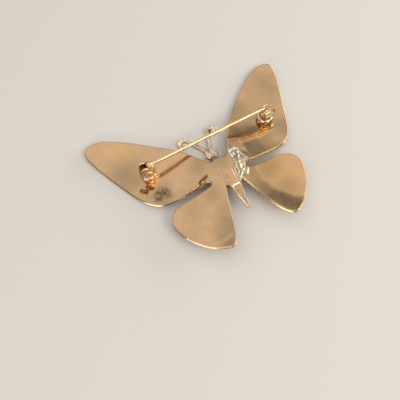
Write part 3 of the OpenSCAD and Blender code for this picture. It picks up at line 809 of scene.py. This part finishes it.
def barrel_shade(x, y, z):
    """Painted shade in brown inside the barrel, and low on its west end."""
    bore = ease(1.75, 1.3, math.hypot(y - barrel_y, z - barrel_z))
    west = 0.6 * ease(0.5, 0.1, x - catch_x) * ease(4.6, 3.6, z)
    return 0, max(bore, west), 0, 0


barrel = open_tube(inner=1.25, outer=1.85, length=catch_l, half_gap=40, round_edge=0.12)
barrel = set_piece(barrel, "catch_barrel", bright_plate, "brooch", crease=40)
paint(barrel, barrel_shade)

foot_w, foot_h, foot_z = 2.2, 1.1, 1.45
bm = block((catch_l - 0.1, foot_w, foot_h), (catch_x + catch_l / 2, barrel_y, foot_z))
for v in bm.verts:
    if v.co.z > foot_z:
        v.co.y = barrel_y + 0.75 * (v.co.y - barrel_y)
bevel(bm, width=0.15)
set_piece(bm, "catch_foot", bright_plate, "brooch", crease=40)

lever_x, lever_t = 2.8, 0.45
lever = [
    (-0.9, 0.0), (-0.9, 1.6), (-0.92, 1.98), (-1.04, 2.14), (-1.25, 2.2), (-1.46, 2.14), (-1.58, 1.98),
    (-1.58, 1.75), (-1.38, 1.5), (-1.33, 1.2), (-1.33, 0.0)]
sleeve = open_tube(inner=0.9, outer=1.2, length=3.25, half_gap=78, round_edge=0.07)
face = sleeve.faces.new([sleeve.verts.new((catch_x + lever_x, barrel_y + y, barrel_z + z)) for y, z in lever])
thicken(sleeve, face, (lever_t, 0, 0))
safety = set_piece(sleeve, "safety_sleeve", wire_plate, "sleeve", crease=35)
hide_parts("catch_sleeve")

# ---------------------------------------------------------------------------
# The studio: a plain pale floor, large soft lights above and beside it, and
# the camera at the photograph's place.
# ---------------------------------------------------------------------------
floor_matte = bpy.data.materials.new("floor_matte_pale")
floor_matte.use_nodes = True
floor_shader = floor_matte.node_tree.nodes["Principled BSDF"]
floor_shader.inputs["Base Color"].default_value = linear("DAD7D2")
floor_shader.inputs["Roughness"].default_value = 0.85
bm = bmesh.new()
bmesh.ops.create_grid(bm, x_segments=2, y_segments=2, size=1.5)
mesh = bpy.data.meshes.new("floor")
bm.to_mesh(mesh)
bm.free()
mesh.materials.append(floor_matte)
floor = bpy.data.objects.new("floor", mesh)
bpy.context.scene.collection.objects.link(floor)

world = bpy.data.worlds.new("studio")
bpy.context.scene.world = world
world.use_nodes = True
world.node_tree.nodes["Background"].inputs["Color"].default_value = linear("E8E6E4")
world.node_tree.nodes["Background"].inputs["Strength"].default_value = 0.42


def soft_light(name, place, size, power, colour="FFFFFF"):
    """A soft light of some width and height that looks at the brooch."""
    lamp = bpy.data.lights.new(name, "AREA")
    lamp.shape, lamp.energy = "RECTANGLE", power
    lamp.size, lamp.size_y = size
    lamp.color = linear(colour)[:3]
    light = bpy.data.objects.new(name, lamp)
    bpy.context.scene.collection.objects.link(light)
    light.location = place
    light.rotation_euler = (-Vector(place)).to_track_quat("-Z", "Y").to_euler()


soft_light("ceiling", (-0.05, 0.12, 0.60), (1.25, 1.25), 2.9, "FFFAF4")
soft_light("fill_right", (0.468, 0.066, 0.369), (0.45, 0.22), 0.09, "FFFAF4")
soft_light("fill_back", (0.0, 0.55, 0.30), (0.3, 0.16), 0.05, "FFFAF4")
soft_light("lamp_front", (0.17, -0.33, 0.345), (0.28, 0.14), 0.80, "FFF8EE")
soft_light("window_right", (0.50, 0.0, 0.12), (0.6, 0.12), 1.5, "FFF6E8")
soft_light("window_left", (-0.45, -0.32, 0.20), (0.4, 0.12), 0.6)

camera_place = Vector((-31.57, -44.80, 107.695)) * 0.001
right, up = Vector((0.86849, -0.49571, 0.00268)), Vector((0.45612, 0.80123, 0.38727))
back = right.cross(up).normalized()
up = back.cross(right).normalized()
lens = bpy.data.cameras.new("camera")
lens.sensor_width, lens.lens = 36.0, 41.5
lens.clip_start, lens.clip_end = 0.005, 10
camera = bpy.data.objects.new("camera", lens)
bpy.context.scene.collection.objects.link(camera)
camera.matrix_world = Matrix.Translation(camera_place) @ Matrix((right, up, back)).transposed().to_4x4()
bpy.context.scene.camera = camera
bpy.context.scene.view_settings.view_transform = "Standard"

bpy.context.view_layer.update()
